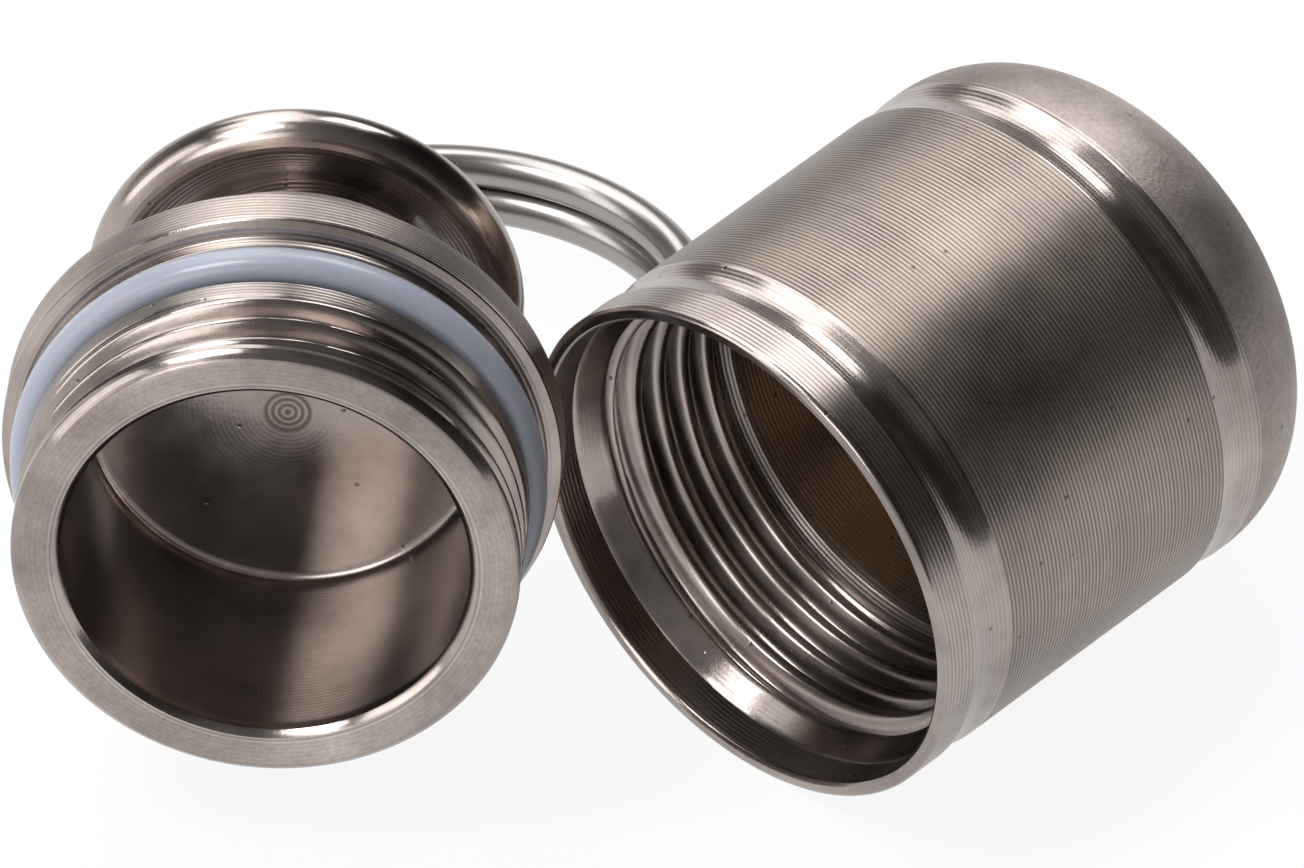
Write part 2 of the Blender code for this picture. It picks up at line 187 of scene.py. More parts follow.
# Finish of each turned surface: its polish, from satin at -1 to bright at 1, and its painted light and shade,
# a brightness under 1 for painted shade and over 1 for painted light.
# Over 1.2 it marks the bore, which is painted lighter with a straw tint for the light bounced inside it.
FINISH_AND_PAINTED_LIGHT = {
    "body floor": (0.2, 1.4),
    "body bore": (0.6, 1.45),
    "run-out": (0.3, 0.8),
    "body thread": (0.60, 1.15),
    "cone edge": (0.8, 1.1),
    "cone": (1.0, 1.15),
    "counterbore": (0.6, 1.05),
    "lip inside": (0.9, 1.0),
    "lip outside": (0.85, 1.0),
    "lip band": (0.35, 1.0),
    "groove": (0.70, 1.05),
    "barrel": (0.0, 0.82),
    "dome": (-1.0, 0.95),
    # The centre mark: rings on the flat floor, painted alternately with shade and light.
    "painted shade ring": (0.9, 0.42),
    "painted light ring": (0.9, 1.05),
    "cap floor": (0.9, 1.0),
    "cap corner": (0.7, 1.19),
    "cap bore": (0.8, 0.95),
    "cap inner edge": (0.95, 1.19),
    "cap face": (-0.9, 1.19),
    "cap outer edge": (0.85, 1.0),
    "cap thread": (0.85, 1.0),
    "relief": (0.45, 0.9),
    "seal groove": (0.3, 0.8),
    "land front": (0.5, 1.0),
    "land back": (0.4, 1.0),
    "flange edge": (0.9, 1.1),
    "flange": (-0.35, 1.0),
    "shoulder": (0.3, 1.0),
    "web": (0.45, 1.18),
    "rim": (0.85, 1.0),
    "tail back": (0.3, 1.0),
}

# Colours, sRGB
HEX = {
    "titanium": "#BAB0AA",
    "titanium_dark": "#8E8480",
    "painted_warm_tint": "#8E7657",
    "silicone": "#9398A5",
    "wire": "#A19C99",
    "table": "#FFFFFF",
}

# Patterns of the materials, in millimetres or by the millimetre
FEED_MM = 0.145
STREAKS_PER_MM = 5.0
GRAINS_PER_MM = 6.0
CLOUDS_PER_MM = 0.26
PITS_PER_MM = 0.85
MARK_HEIGHT_MM = 0.008
SEAL_CLOUDS_PER_MM = 0.30
SEAL_CLOUD_HEIGHT_MM = 0.01
SEAL_DEPTH_MM = 0.6
SILICONE_IOR = 1.41
WIRE_CLOUDS_PER_MM = 0.25

# Softboxes: name, place and then width and height in metres, and power in watts
SOFTBOX_TARGET = (0.0, 0.0, 0.008)
SOFTBOXES = (
    ("overhead_softbox", (0.17, 0.33, 0.50), 0.26, 0.28, 1.5),
    ("back_softbox", (-0.16, 0.58, 0.46), 0.32, 0.62, 1.7),
    ("left_top_softbox", (-0.24, 0.26, 0.62), 0.34, 0.40, 1.5),
    ("high_left_softbox", (-0.28, -0.13, 0.54), 0.20, 0.22, 2.2),
    ("left_softbox", (-0.60, -0.15, 0.25), 0.30, 0.45, 1.1),
    ("front_left_softbox", (-0.34, -0.52, 0.36), 0.34, 0.30, 1.2),
)
ROOM_COLOUR = (1.0, 0.97, 0.94, 1.0)
WHITE = (1.0, 1.0, 1.0, 1.0)

# Table, and how much of it is plain white to the camera and in reflections
TABLE_HALF = 3.0
TABLE_DROP = 0.1 * MM
TABLE_PALE = (0.82, 0.82, 0.82, 1.0)
TABLE_WHITE_SEEN = 0.90
TABLE_WHITE_MIRRORED = 0.80

# Node kinds
MATH = "ShaderNodeMath"
VECTOR_MATH = "ShaderNodeVectorMath"
MAP_RANGE = "ShaderNodeMapRange"
NOISE = "ShaderNodeTexNoise"


def linear(name):
    """Turns an sRGB hex colour into linear red, green, blue and alpha."""
    code = HEX[name].lstrip("#")
    values = [int(code[place:place + 2], 16) / 255 for place in (0, 2, 4)]
    return [v / 12.92 if v <= 0.04045 else ((v + 0.055) / 1.055) ** 2.4 for v in values] + [1.0]


def add_node(tree, kind, inputs=None, **settings):
    """Adds a node with its settings; each input takes a value, a socket or a node's first output."""
    node = tree.nodes.new(kind)
    for key, value in settings.items():
        setattr(node, key, value)
    for key, value in (inputs or {}).items():
        if isinstance(value, bpy.types.Node):
            value = value.outputs[0]
        if isinstance(value, bpy.types.NodeSocket):
            tree.links.new(value, node.inputs[key])
        else:
            node.inputs[key].default_value = value
    return node


# Profiles

def straight(ends, steps):
    """Returns evenly spaced profile points between two ends."""
    (first_station, first_radius), (last_station, last_radius) = ends
    return [
        (first_station + (last_station - first_station) * step / steps,
         first_radius + (last_radius - first_radius) * step / steps)
        for step in range(steps + 1)
    ]


def smooth_line(points, steps):
    """Returns a curve through profile points, rounded as a smooth turned form."""
    ends = [points[0]] + list(points) + [points[-1]]
    line = []
    for index in range(1, len(ends) - 2):
        before, start, end, after = ends[index - 1:index + 3]
        for step in range(steps):
            t = step / steps
            line.append(tuple(
                0.5 * (2 * start[k] + (end[k] - before[k]) * t
                       + (2 * before[k] - 5 * start[k] + 4 * end[k] - after[k]) * t * t
                       + (3 * start[k] - before[k] - 3 * end[k] + after[k]) * t ** 3)
                for k in (0, 1)
            ))
    return line + [tuple(points[-1])]


def with_finish_and_painted_light(surface_name, points):
    """Turns profile points into rows of station, radius, thread share, polish and painted light."""
    polish, painted_light = FINISH_AND_PAINTED_LIGHT[surface_name]
    return [(station, radius, 0.0, polish, painted_light) for station, radius in points]


def threaded(surface_name, start, turns, radius, fade):
    """Returns the rows of a threaded length, its crests fading in and out at both ends."""
    polish, painted_light = FINISH_AND_PAINTED_LIGHT[surface_name]
    rows = []
    for index in range(round(turns * ROWS_PER_PITCH) + 1):
        along = index / ROWS_PER_PITCH
        share = max(0.0, min(1.0, along / fade, (turns - along) / fade))
        station = start + along * THREAD_PITCH / BODY_RADIUS
        rows.append((station, radius, -THREAD_DEPTH_SHARE * share, polish, painted_light))
    return rows


def groove_points(centre):
    """Returns a shallow rounded groove."""
    points = []
    for index in range(-GROOVE_HALF_STEPS, GROOVE_HALF_STEPS + 1):
        share = index / GROOVE_HALF_STEPS
        depth = GROOVE_DEPTH_SHARE * (1 - share * share) ** GROOVE_ROUNDNESS
        points.append((centre + share * GROOVE_HALF_WIDTH_SHARE, 1.0 - depth))
    return points


def dome_points():
    """Returns the dome, a superellipse between a sphere's cap and a flat end."""
    power = 2 / DOME_POWER
    points = []
    for index in range(DOME_STEPS + 1):
        angle = 0.25 * TURN * index / DOME_STEPS_TO_TIP
        station = DOME_START_SHARE + DOME_HEIGHT_SHARE * math.sin(angle) ** power
        points.append((station, math.cos(angle) ** power))
    return points


def body_rows():
    """Returns the body's rows from the bore's floor, out over the lip and back to the tip of the dome."""
    rows = with_finish_and_painted_light("body floor", BORE_FLOOR_SHARES)
    rows += with_finish_and_painted_light("body bore", straight(BORE_END_SHARES, BORE_STEPS))
    rows += with_finish_and_painted_light("run-out", RUN_OUT_SHARES)
    thread = threaded(
        "body thread", BODY_THREAD_START_SHARE, BODY_THREAD_TURNS, THREAD_ROOT_SHARE, BODY_THREAD_FADE
    )
    rows += reversed(thread)
    rows += with_finish_and_painted_light("cone edge", CONE_EDGE_SHARES)
    rows += with_finish_and_painted_light("cone", straight(CONE_END_SHARES, CONE_STEPS))
    rows += with_finish_and_painted_light("counterbore", straight(COUNTERBORE_END_SHARES, COUNTERBORE_STEPS))
    rows += with_finish_and_painted_light("lip inside", LIP_INSIDE_SHARES)
    rows += with_finish_and_painted_light("lip outside", LIP_OUTSIDE_SHARES)
    rows += with_finish_and_painted_light("lip band", straight(LIP_BAND_END_SHARES, LIP_BAND_STEPS))
    rows += with_finish_and_painted_light("groove", groove_points(GROOVE_CENTRE_SHARES[0]))
    rows += with_finish_and_painted_light("barrel", straight(BARREL_END_SHARES, BARREL_STEPS))
    rows += with_finish_and_painted_light("groove", groove_points(GROOVE_CENTRE_SHARES[1]))
    rows += with_finish_and_painted_light("dome", dome_points())
    return rows


def cap_rows():
    """Returns the cap's rows, where the web's front and back rows start, and the web's row counts."""
    rows = []
    # The centre mark is only painted: flat rings of the floor, painted alternately with shade and light.
    for index in range(CENTRE_MARK_ROWS):
        mark = "painted light ring" if index % 2 else "painted shade ring"
        radius = CENTRE_MARK_START_SHARE + CENTRE_MARK_STEP_SHARE * index
        rows += with_finish_and_painted_light(mark, [(CAP_FLOOR_SHARE, radius)])
    rows += with_finish_and_painted_light("cap floor", [(CAP_FLOOR_SHARE, radius) for radius in CAP_FLOOR_RADIUS_SHARES])
    rows += with_finish_and_painted_light("cap corner", CAP_CORNER_SHARES)
    rows += with_finish_and_painted_light("cap bore", straight(CAP_BORE_END_SHARES, CAP_BORE_STEPS))
    rows += with_finish_and_painted_light("cap inner edge", CAP_INNER_EDGE_SHARES)
    rows += with_finish_and_painted_light("cap face", CAP_FACE_SHARES)
    rows += with_finish_and_painted_light("cap outer edge", CAP_OUTER_EDGE_SHARES)
    rows += threaded(
        "cap thread", CAP_THREAD_START_SHARE, CAP_THREAD_TURNS, CAP_CREST_SHARE, CAP_THREAD_FADE
    )
    rows += with_finish_and_painted_light("relief", RELIEF_SHARES)
    rows += with_finish_and_painted_light("seal groove", SEAL_GROOVE_SHARES)
    rows += with_finish_and_painted_light("land front", LAND_FRONT_SHARES)
    rows += with_finish_and_painted_light("land back", LAND_BACK_SHARES)
    rows += with_finish_and_painted_light("flange edge", FLANGE_EDGE_SHARES)
    rows += with_finish_and_painted_light("flange", FLANGE_SHARES)
    rows += with_finish_and_painted_light("shoulder", smooth_line(SHOULDER_SHARES, SHOULDER_STEPS))
    front = len(rows)
    web = straight(WEB_END_SHARES, WEB_STEPS)
    web_to_rim = web + smooth_line(WEB_TO_RIM_SHARES, WEB_TO_RIM_STEPS)
    rows += with_finish_and_painted_light("web", web_to_rim)
    rows += with_finish_and_painted_light("rim", smooth_line(RIM_SHARES, RIM_STEPS))
    back = len(rows)
    rows += with_finish_and_painted_light("tail back", [(TAIL_BACK_SHARE, radius) for _, radius in reversed(web_to_rim)])
    return rows, front, back, len(web), len(web_to_rim)


# Meshes

def cross_axes(axis):
    """Returns the direction across an axis nearest to the camera's side up, and the one to its right."""
    up = (CAMERA_BACK - axis * CAMERA_BACK.dot(axis)).normalized()
    right = axis.cross(up)
    return up, right if right.x > 0 else -right


def outward_directions(axis):
    """Returns the directions out of an axis, one for each column."""
    up, right = cross_axes(axis)
    turns = [TURN * column / COLUMNS for column in range(COLUMNS)]
    return [up * math.cos(turn) + right * math.sin(turn) for turn in turns]


def turned_mesh(name, axis, mouth, rows, cuts=()):
    """Turns profile rows about an axis; cuts holds what open_web takes for each opening."""
    outward = outward_directions(axis)
    points = []
    values = {"thread": [], "profile_mm": [], "polish": [], "painted_light": []}

    def add_point(point, *point_values):
        points.append(point)
        for label, value in zip(values, point_values):
            values[label].append(value)

    length = 0.0
    for index, (station, radius, thread, polish, painted_light) in enumerate(rows):
        if index:
            length += math.hypot(station - rows[index - 1][0], radius - rows[index - 1][1]) * BODY_RADIUS / MM
        for direction in outward:
            place = mouth - axis * station * BODY_RADIUS + direction * radius * BODY_RADIUS
            add_point(place, thread, length, polish, painted_light)
    faces = {}
    for index in range(len(rows) - 1):
        low = index * COLUMNS
        for column in range(COLUMNS):
            after = (column + 1) % COLUMNS
            faces[index, column] = (low + column, low + after, low + COLUMNS + after, low + COLUMNS + column)
    walls = []
    for cut in cuts:
        walls.extend(open_web(faces, *cut))
    listed = list(faces.values()) + walls
    for index in (0, len(rows) - 1):
        station, radius, _, polish, painted_light = rows[index]
        centre = len(points)
        centre_length = length + radius * BODY_RADIUS / MM if index else 0.0
        add_point(mouth - axis * station * BODY_RADIUS, 0.0, centre_length, polish, painted_light)
        for column in range(COLUMNS):
            after = (column + 1) % COLUMNS
            listed.append((index * COLUMNS + column, index * COLUMNS + after, centre))
    mesh = bpy.data.meshes.new(name)
    mesh.from_pydata(points, [], listed)
    map_along_and_around(mesh, values["profile_mm"])
    for label, numbers in values.items():
        mesh.attributes.new(label, "FLOAT", "POINT").data.foreach_set("value", numbers)
    return mesh


def map_along_and_around(mesh, lengths):
    """Adds a UV map in millimetres, along the profile and around the axis."""
    around = mesh.uv_layers.new(name="along_and_around")
    for face in mesh.polygons:
        columns = [vertex % COLUMNS for vertex in face.vertices]
        wraps = COLUMNS - 1 in columns and 0 in columns
        for corner, vertex, column in zip(face.loop_indices, face.vertices, columns):
            turned = COLUMNS if wraps and column == 0 else column
            around.data[corner].uv = (lengths[vertex], turned * TURN * BODY_RADIUS / MM / COLUMNS)


def opened_cells(rings, degrees):
    """Returns the web cells between two rings and two azimuths."""
    first, last = (round(COLUMNS * azimuth / 360) for azimuth in degrees)
    return {(ring, column) for ring in range(*rings) for column in range(first, last)}


def open_web(faces, cells, front, back, total):
    """Opens a slot through the web at a set of cells, and returns its walls."""
    def pair(ring, column):
        return (front + ring) * COLUMNS + column, (back + total - 1 - ring) * COLUMNS + column

    for ring, column in cells:
        faces.pop((front + ring, column))
        faces.pop((back + total - 2 - ring, column))
    walls = []
    for ring, column in cells:
        for beside, start, end in (
            ((ring - 1, column), (ring, column), (ring, column + 1)),
            ((ring + 1, column), (ring + 1, column), (ring + 1, column + 1)),
            ((ring, column - 1), (ring, column), (ring + 1, column)),
            ((ring, column + 1), (ring, column + 1), (ring + 1, column + 1)),
        ):
            if beside not in cells:
                near_start, far_start = pair(*start)
                near_end, far_end = pair(*end)
                walls.append((near_start, far_start, far_end, near_end))
    return walls


def finish_mesh(mesh):
    """Merges doubles, points the faces outwards and shades smooth except at sharp edges."""
    work = bmesh.new()
    work.from_mesh(mesh)
    bmesh.ops.remove_doubles(work, verts=work.verts, dist=DOUBLES_DISTANCE)
    bmesh.ops.recalc_face_normals(work, faces=work.faces)
    if work.calc_volume(signed=True) < 0:
        bmesh.ops.reverse_faces(work, faces=work.faces)
    for face in work.faces:
        face.smooth = True
    for edge in work.edges:
        edge.smooth = edge.calc_face_angle(0.0) < math.radians(SHARP_DEGREES)
    work.to_mesh(mesh)
    work.free()


def new_piece(name, mesh):
    piece = bpy.data.objects.new(name, mesh)
    bpy.context.collection.objects.link(piece)
    return piece


# Geometry Nodes

def new_geometry_tree(name, inputs):
    """Starts a geometry tree with named inputs."""
    tree = bpy.data.node_groups.new(name, "GeometryNodeTree")
    tree.interface.new_socket("Geometry", in_out="INPUT", socket_type="NodeSocketGeometry")
    for label, kind, value in inputs:
        tree.interface.new_socket(label, in_out="INPUT", socket_type=kind).default_value = value
    tree.interface.new_socket("Geometry", in_out="OUTPUT", socket_type="NodeSocketGeometry")
    return tree, tree.nodes.new("NodeGroupInput").outputs


def end_tree(tree, geometry, material):
    """Ends a geometry tree with real instances and a material."""
    real = add_node(tree, "GeometryNodeRealizeInstances", {"Geometry": geometry})
    made = add_node(tree, "GeometryNodeSetMaterial", {"Geometry": real, "Material": material})
    add_node(tree, "NodeGroupOutput", {"Geometry": made})
    return tree


def thread_tree(axis, mouth, material, wave_start):
    """Cuts a helical thread: moves each point along its radius by its own share of the crest wave."""
    tree, sizes = new_geometry_tree("cut_thread", [
        ("Pitch", "NodeSocketFloat", THREAD_PITCH),
        ("Wave start", "NodeSocketFloat", wave_start),
        ("Crest roundness", "NodeSocketFloat", 0.25 * TURN),
    ])
    offset = add_node(tree, VECTOR_MATH, {
        0: add_node(tree, "GeometryNodeInputPosition"), 1: mouth,
    }, operation="SUBTRACT")
    up, right = cross_axes(axis)
    station, upward, sideways = (
        add_node(tree, VECTOR_MATH, {0: offset, 1: direction}, operation="DOT_PRODUCT").outputs["Value"]
        for direction in (-axis, up, right)
    )
    azimuth = add_node(tree, MATH, {0: sideways, 1: upward}, operation="ARCTAN2")
    after = add_node(tree, MATH, {0: station, 1: sizes["Wave start"]}, operation="SUBTRACT")
    pitches = add_node(tree, MATH, {0: after, 1: sizes["Pitch"]}, operation="DIVIDE")
    turned = add_node(tree, MATH, {0: pitches, 1: TURN}, operation="MULTIPLY")
    phase = add_node(tree, MATH, {0: turned, 1: azimuth}, operation="SUBTRACT")
    cosine = add_node(tree, MATH, {0: phase}, operation="COSINE")
    raised = add_node(tree, MATH, {0: 1.0, 1: cosine}, operation="SUBTRACT")
    wave = add_node(tree, MATH, {0: raised, 1: 0.5}, operation="MULTIPLY")
    swell = add_node(tree, MATH, {0: wave, 1: sizes["Crest roundness"]}, operation="MULTIPLY")
    crest = add_node(tree, MATH, {0: swell}, operation="SINE")
    share = add_node(tree, "GeometryNodeInputNamedAttribute", {"Name": "thread"}, data_type="FLOAT")
    part = add_node(tree, MATH, {0: crest, 1: share.outputs["Attribute"]}, operation="MULTIPLY")
    depth = add_node(tree, MATH, {0: part, 1: BODY_RADIUS}, operation="MULTIPLY")
    along = add_node(tree, VECTOR_MATH, {0: -axis, "Scale": station}, operation="SCALE")
    across = add_node(tree, VECTOR_MATH, {0: offset, 1: along}, operation="SUBTRACT")
    radial = add_node(tree, VECTOR_MATH, {0: across}, operation="NORMALIZE")
    moved = add_node(tree, VECTOR_MATH, {0: radial, "Scale": depth}, operation="SCALE")
    placed = add_node(tree, "GeometryNodeSetPosition", {"Geometry": sizes["Geometry"], "Offset": moved})
    return end_tree(tree, placed, material)


def coil_tree(material):
    """Winds the split ring: a flat turn, a short jog and a second flat turn of round wire."""
    tree, sizes = new_geometry_tree("wind_split_ring", [
        ("Points", "NodeSocketInt", RING_POINTS),
        ("Ring radius", "NodeSocketFloat", RING_SHARE * BODY_RADIUS),
        ("Wire radius", "NodeSocketFloat", WIRE_SHARE * BODY_RADIUS),
        ("Coil spacing", "NodeSocketFloat", COIL_SPACING_SHARE * BODY_RADIUS),
        ("End angle", "NodeSocketFloat", math.radians(WIRE_END_DEGREES)),
        ("Jog half angle", "NodeSocketFloat", math.radians(JOG_HALF_DEGREES)),
    ])
    line = add_node(tree, "GeometryNodeMeshLine", {"Count": sizes["Points"]})
    spans = add_node(tree, MATH, {0: sizes["Points"], 1: 1.0}, operation="SUBTRACT")
    index = add_node(tree, "GeometryNodeInputIndex")
    along = add_node(tree, MATH, {0: index, 1: spans}, operation="DIVIDE")
    both_ends = add_node(tree, MATH, {0: sizes["End angle"], 1: 2.0}, operation="MULTIPLY")
    sweep = add_node(tree, MATH, {0: 2 * TURN, 1: both_ends}, operation="SUBTRACT")
    swept = add_node(tree, MATH, {0: along, 1: sweep}, operation="MULTIPLY")
    angle = add_node(tree, MATH, {0: swept, 1: sizes["End angle"]}, operation="ADD")
    jog = add_node(tree, MAP_RANGE, {
        "Value": angle,
        "From Min": add_node(tree, MATH, {0: TURN, 1: sizes["Jog half angle"]}, operation="SUBTRACT"),
        "From Max": add_node(tree, MATH, {0: TURN, 1: sizes["Jog half angle"]}, operation="ADD"),
        "To Min": -0.5,
        "To Max": 0.5,
    }, interpolation_type="SMOOTHSTEP")
    near = (CAMERA_BACK - RING_AXIS * CAMERA_BACK.dot(RING_AXIS)).normalized()
    place = Vector()
    for direction, amount, size in (
        (near, add_node(tree, MATH, {0: angle}, operation="COSINE"), "Ring radius"),
        (RING_AXIS.cross(near), add_node(tree, MATH, {0: angle}, operation="SINE"), "Ring radius"),
        (RING_AXIS, jog, "Coil spacing"),
    ):
        reach = add_node(tree, MATH, {0: amount, 1: sizes[size]}, operation="MULTIPLY")
        step = add_node(tree, VECTOR_MATH, {0: direction, "Scale": reach}, operation="SCALE")
        place = add_node(tree, VECTOR_MATH, {0: place, 1: step}, operation="ADD")
    centred = add_node(tree, VECTOR_MATH, {0: place, 1: RING_CENTRE}, operation="ADD")
    curved = add_node(tree, "GeometryNodeMeshToCurve", {"Mesh": line})
    wound = add_node(tree, "GeometryNodeSetPosition", {"Geometry": curved, "Position": centred})
    section = add_node(tree, "GeometryNodeCurvePrimitiveCircle", {
        "Resolution": WIRE_SIDES, "Radius": sizes["Wire radius"],
    })
    tube = add_node(tree, "GeometryNodeCurveToMesh", {
        "Curve": wound, "Profile Curve": section, "Fill Caps": True,
    })
    return end_tree(tree, tube, material)


def apply_tree(name, mesh, tree, material):
    """Runs a geometry tree on a mesh and returns a plain object at the origin."""
    carrier = new_piece(name + "_carrier", mesh)
    carrier.modifiers.new("tree", "NODES").node_group = tree
    bpy.context.view_layer.update()
    graph = bpy.context.evaluated_depsgraph_get()
    ready = carrier.evaluated_get(graph)
    result = bpy.data.meshes.new_from_object(ready, preserve_all_data_layers=True, depsgraph=graph)
    bpy.data.objects.remove(carrier, do_unlink=True)
    result.name = name
    finish_mesh(result)
    if not result.materials:
        result.materials.append(material)
    return new_piece(name, result)


# Materials

def new_material(name):
    material = bpy.data.materials.new(name)
    material.use_nodes = True
    material.node_tree.nodes.clear()
    return material, material.node_tree


def feed_marks(tree, profile, polish, satin):
    """Rings left by the tool's feed, uneven from turn to turn, on what is neither polished nor satin."""
    turns = add_node(tree, MATH, {0: profile, 1: TURN / FEED_MM}, operation="MULTIPLY")
    rings = add_node(tree, MATH, {0: turns}, operation="SINE")
    stretch = add_node(tree, MATH, {0: profile, 1: STREAKS_PER_MM}, operation="MULTIPLY")
    streaks = add_node(tree, NOISE, {
        "W": stretch, "Scale": 1.0, "Detail": 4.0, "Roughness": 0.7,
    }, noise_dimensions="1D").outputs["Fac"]
    uneven = add_node(tree, MAP_RANGE, {"Value": streaks, "From Min": 0.3, "From Max": 0.7, "To Min": 0.55})
    marks = add_node(tree, MATH, {0: rings, 1: uneven}, operation="MULTIPLY")
    unpolished = add_node(tree, MAP_RANGE, {"Value": polish, "From Max": 0.9, "To Min": 1.0, "To Max": 0.03})
    unblasted = add_node(tree, MATH, {0: 1.0, 1: satin}, operation="SUBTRACT")
    turned = add_node(tree, MATH, {0: unpolished, 1: unblasted}, operation="MULTIPLY")
    return add_node(tree, MATH, {0: marks, 1: turned}, operation="MULTIPLY")


def metal_roughness(tree, polish, satin, cloud):
    """Lower where the metal is polished, patchy with the clouds, and higher on the satin dome."""
    dull = add_node(tree, MAP_RANGE, {"Value": polish, "From Max": 0.9, "To Min": 0.40, "To Max": 0.17})
    patchy = add_node(tree, MAP_RANGE, {
        "Value": cloud, "From Min": 0.3, "From Max": 0.7, "To Min": -0.03, "To Max": 0.06,
    })
    polished = add_node(tree, MATH, {0: dull, 1: patchy}, operation="ADD")
    blasted = add_node(tree, MATH, {0: satin, 1: 0.12}, operation="MULTIPLY")
    return add_node(tree, MATH, {0: polished, 1: blasted}, operation="ADD")


def metal_colour(tree, painted_light, cloud):
    """Cloudy warm grey, with a warm straw tint painted onto the bore, where it is painted lighter for the
    light bounced inside it, and a little onto the painted shade.
    """
    clouded = add_node(tree, MAP_RANGE, {"Value": cloud, "From Min": 0.3, "From Max": 0.65})
    colour = add_node(tree, "ShaderNodeMix", {
        0: clouded, 6: linear("titanium_dark"), 7: linear("titanium"),
    }, data_type="RGBA")
    # Painted shade turns browner, and the painted light in the bore takes a warm straw colour.
    dark = add_node(tree, MAP_RANGE, {
        "Value": painted_light, "From Min": 0.88, "From Max": 0.68, "To Min": 0.05, "To Max": 0.8,
    })
    painted_bore_warmth = add_node(tree, MAP_RANGE, {"Value": painted_light, "From Min": 1.2, "From Max": 1.45, "To Max": 0.7})
    warm = add_node(tree, MATH, {0: dark, 1: painted_bore_warmth}, operation="ADD")
    spread = add_node(tree, MAP_RANGE, {"Value": cloud, "From Min": 0.4, "From Max": 0.6, "To Min": 0.35})
    tint = add_node(tree, MATH, {0: warm, 1: spread}, operation="MULTIPLY")
    tinted = add_node(tree, "ShaderNodeMix", {
        0: tint, 6: colour.outputs[2], 7: linear("painted_warm_tint"),
    }, data_type="RGBA")
    return tinted.outputs[2]


def metal_level(tree, marks, pits, satin, grain):
    """Painted shade in the valleys of the feed marks and in the pits, painted light on the rings' crests, and
    speckled on the satin dome.
    """
    # Painted light and shade of the feed rings, darker in the valleys and lighter on the crests, and painted
    # shade in the pits.
    painted_ring_light = add_node(tree, MAP_RANGE, {"Value": marks, "From Min": -1.0, "To Min": 0.40, "To Max": 1.30})
    painted_pit_shade = add_node(tree, MAP_RANGE, {"Value": pits, "To Min": 0.45})
    painted_ring_and_pit_shade = add_node(tree, MATH, {0: painted_ring_light, 1: painted_pit_shade}, operation="MULTIPLY")
    specks = add_node(tree, MAP_RANGE, {
        "Value": grain, "From Min": 0.35, "From Max": 0.65, "To Min": -0.10, "To Max": 0.10,
    })
    speckle = add_node(tree, MATH, {0: satin, 1: specks}, operation="MULTIPLY")
    return add_node(tree, MATH, {0: painted_ring_and_pit_shade, 1: speckle}, operation="ADD")


def metal_bump(tree, marks, pits, satin, grain):
    """Height of the feed marks, the pits and the grain, which stands higher on the satin dome."""
    grain_height = add_node(tree, MAP_RANGE, {"Value": satin, "To Min": 0.25, "To Max": 1.6})
    grainy = add_node(tree, MATH, {0: grain, 1: grain_height}, operation="MULTIPLY")
    ringed = add_node(tree, MATH, {0: marks, 1: grainy}, operation="ADD")
    height = add_node(tree, MATH, {0: ringed, 1: pits}, operation="ADD")
    return add_node(tree, "ShaderNodeBump", {
        "Height": height, "Strength": 1.0, "Distance": MARK_HEIGHT_MM * MM,
    })


def turned_titanium():
    """Bare titanium, turned: warm grey metal with fine rings 0.15 mm apart left by the tool's feed."""
    material, tree = new_material("turned_titanium")
    profile, polish, painted_light = (
        add_node(tree, "ShaderNodeAttribute", attribute_name=label).outputs["Fac"]
        for label in ("profile_mm", "polish", "painted_light")
    )
    place = add_node(tree, "ShaderNodeTexCoord").outputs["Object"]
    satin = add_node(tree, MAP_RANGE, {"Value": polish, "From Min": 0.0, "From Max": -1.0})

    # Grain of the satin dome, about 0.17 mm
    grain = add_node(tree, NOISE, {
        "Vector": place, "Scale": GRAINS_PER_MM / MM, "Detail": 4.0, "Roughness": 0.7,
    }).outputs["Fac"]

    # Clouds of handling marks, about 4 mm
    cloud = add_node(tree, NOISE, {
        "Vector": place, "Scale": CLOUDS_PER_MM / MM, "Detail": 5.0, "Roughness": 0.6,
    }).outputs["Fac"]

    # Pits 0.1 to 0.2 mm wide and about 1.2 mm apart
    pit_distance = add_node(tree, "ShaderNodeTexVoronoi", {
        "Vector": place, "Scale": PITS_PER_MM / MM,
    }).outputs["Distance"]
    pits = add_node(tree, MAP_RANGE, {"Value": pit_distance, "From Min": 0.035, "From Max": 0.075})

    marks = feed_marks(tree, profile, polish, satin)
    level = metal_level(tree, marks, pits, satin, grain)
    # The colour carries the painted light and shade: each surface's painted light times the rings' and pits'
    # painted shade.
    painted_light_level = add_node(tree, MATH, {0: level, 1: painted_light}, operation="MULTIPLY")
    colour = add_node(tree, VECTOR_MATH, {
        0: metal_colour(tree, painted_light, cloud), "Scale": painted_light_level,
    }, operation="SCALE")
    tangent = add_node(tree, "ShaderNodeTangent", direction_type="UV_MAP", uv_map="along_and_around")
    shader = add_node(tree, "ShaderNodeBsdfPrincipled", {
        "Base Color": colour, "Metallic": 1.0, "Roughness": metal_roughness(tree, polish, satin, cloud),
        "Normal": metal_bump(tree, marks, pits, satin, grain), "Anisotropic": 0.65, "Tangent": tangent,
    })
    add_node(tree, "ShaderNodeOutputMaterial", {"Surface": shader})
    return material


